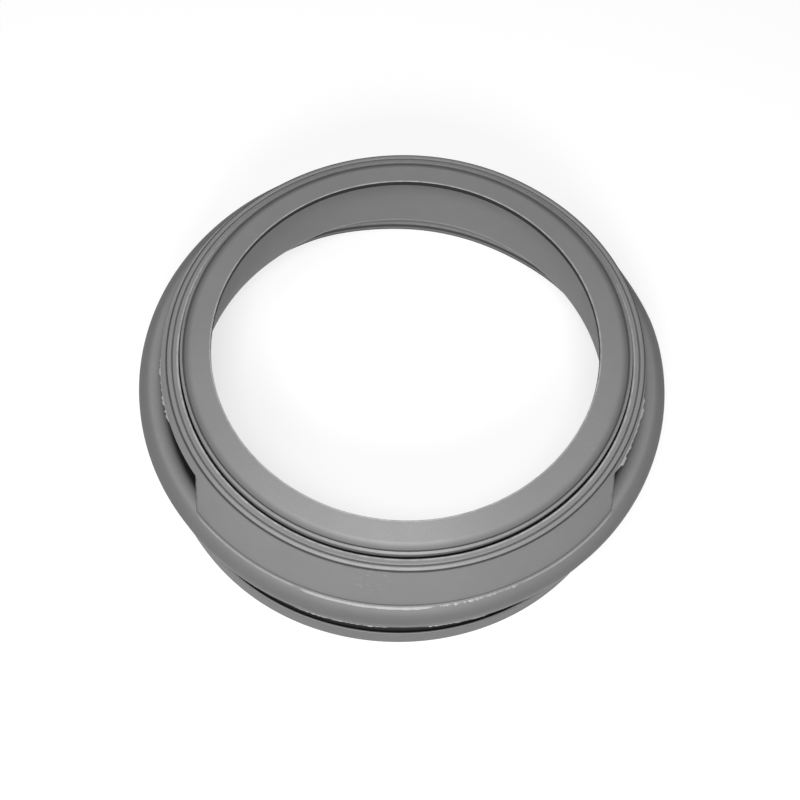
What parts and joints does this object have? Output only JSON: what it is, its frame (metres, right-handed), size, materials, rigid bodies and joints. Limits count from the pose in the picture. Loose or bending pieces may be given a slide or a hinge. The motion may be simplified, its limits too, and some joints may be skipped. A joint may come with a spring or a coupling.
{
  "type": "washing machine door seal",
  "caption": "Moulded rubber bellows ring that seals a front-loading washing machine's door opening to its tub, with a flared lip, clamp slit, bulge and rear flange.",
  "frame": {"origin": "centre of the rear flange's seating face, on the ring's axis", "axes": "+Z along the ring's axis towards the door lip, -Y through the middle of the web that closes the gap between rim and bulge, +X to the right seen from that side"},
  "size_m": [0.4, 0.4, 0.1242],
  "materials": {
    "seal_rubber": "satin grey moulded rubber"
  },
  "bodies": {
    "root": {"door_seal": "seal_rubber"}
  },
  "joints": []
}
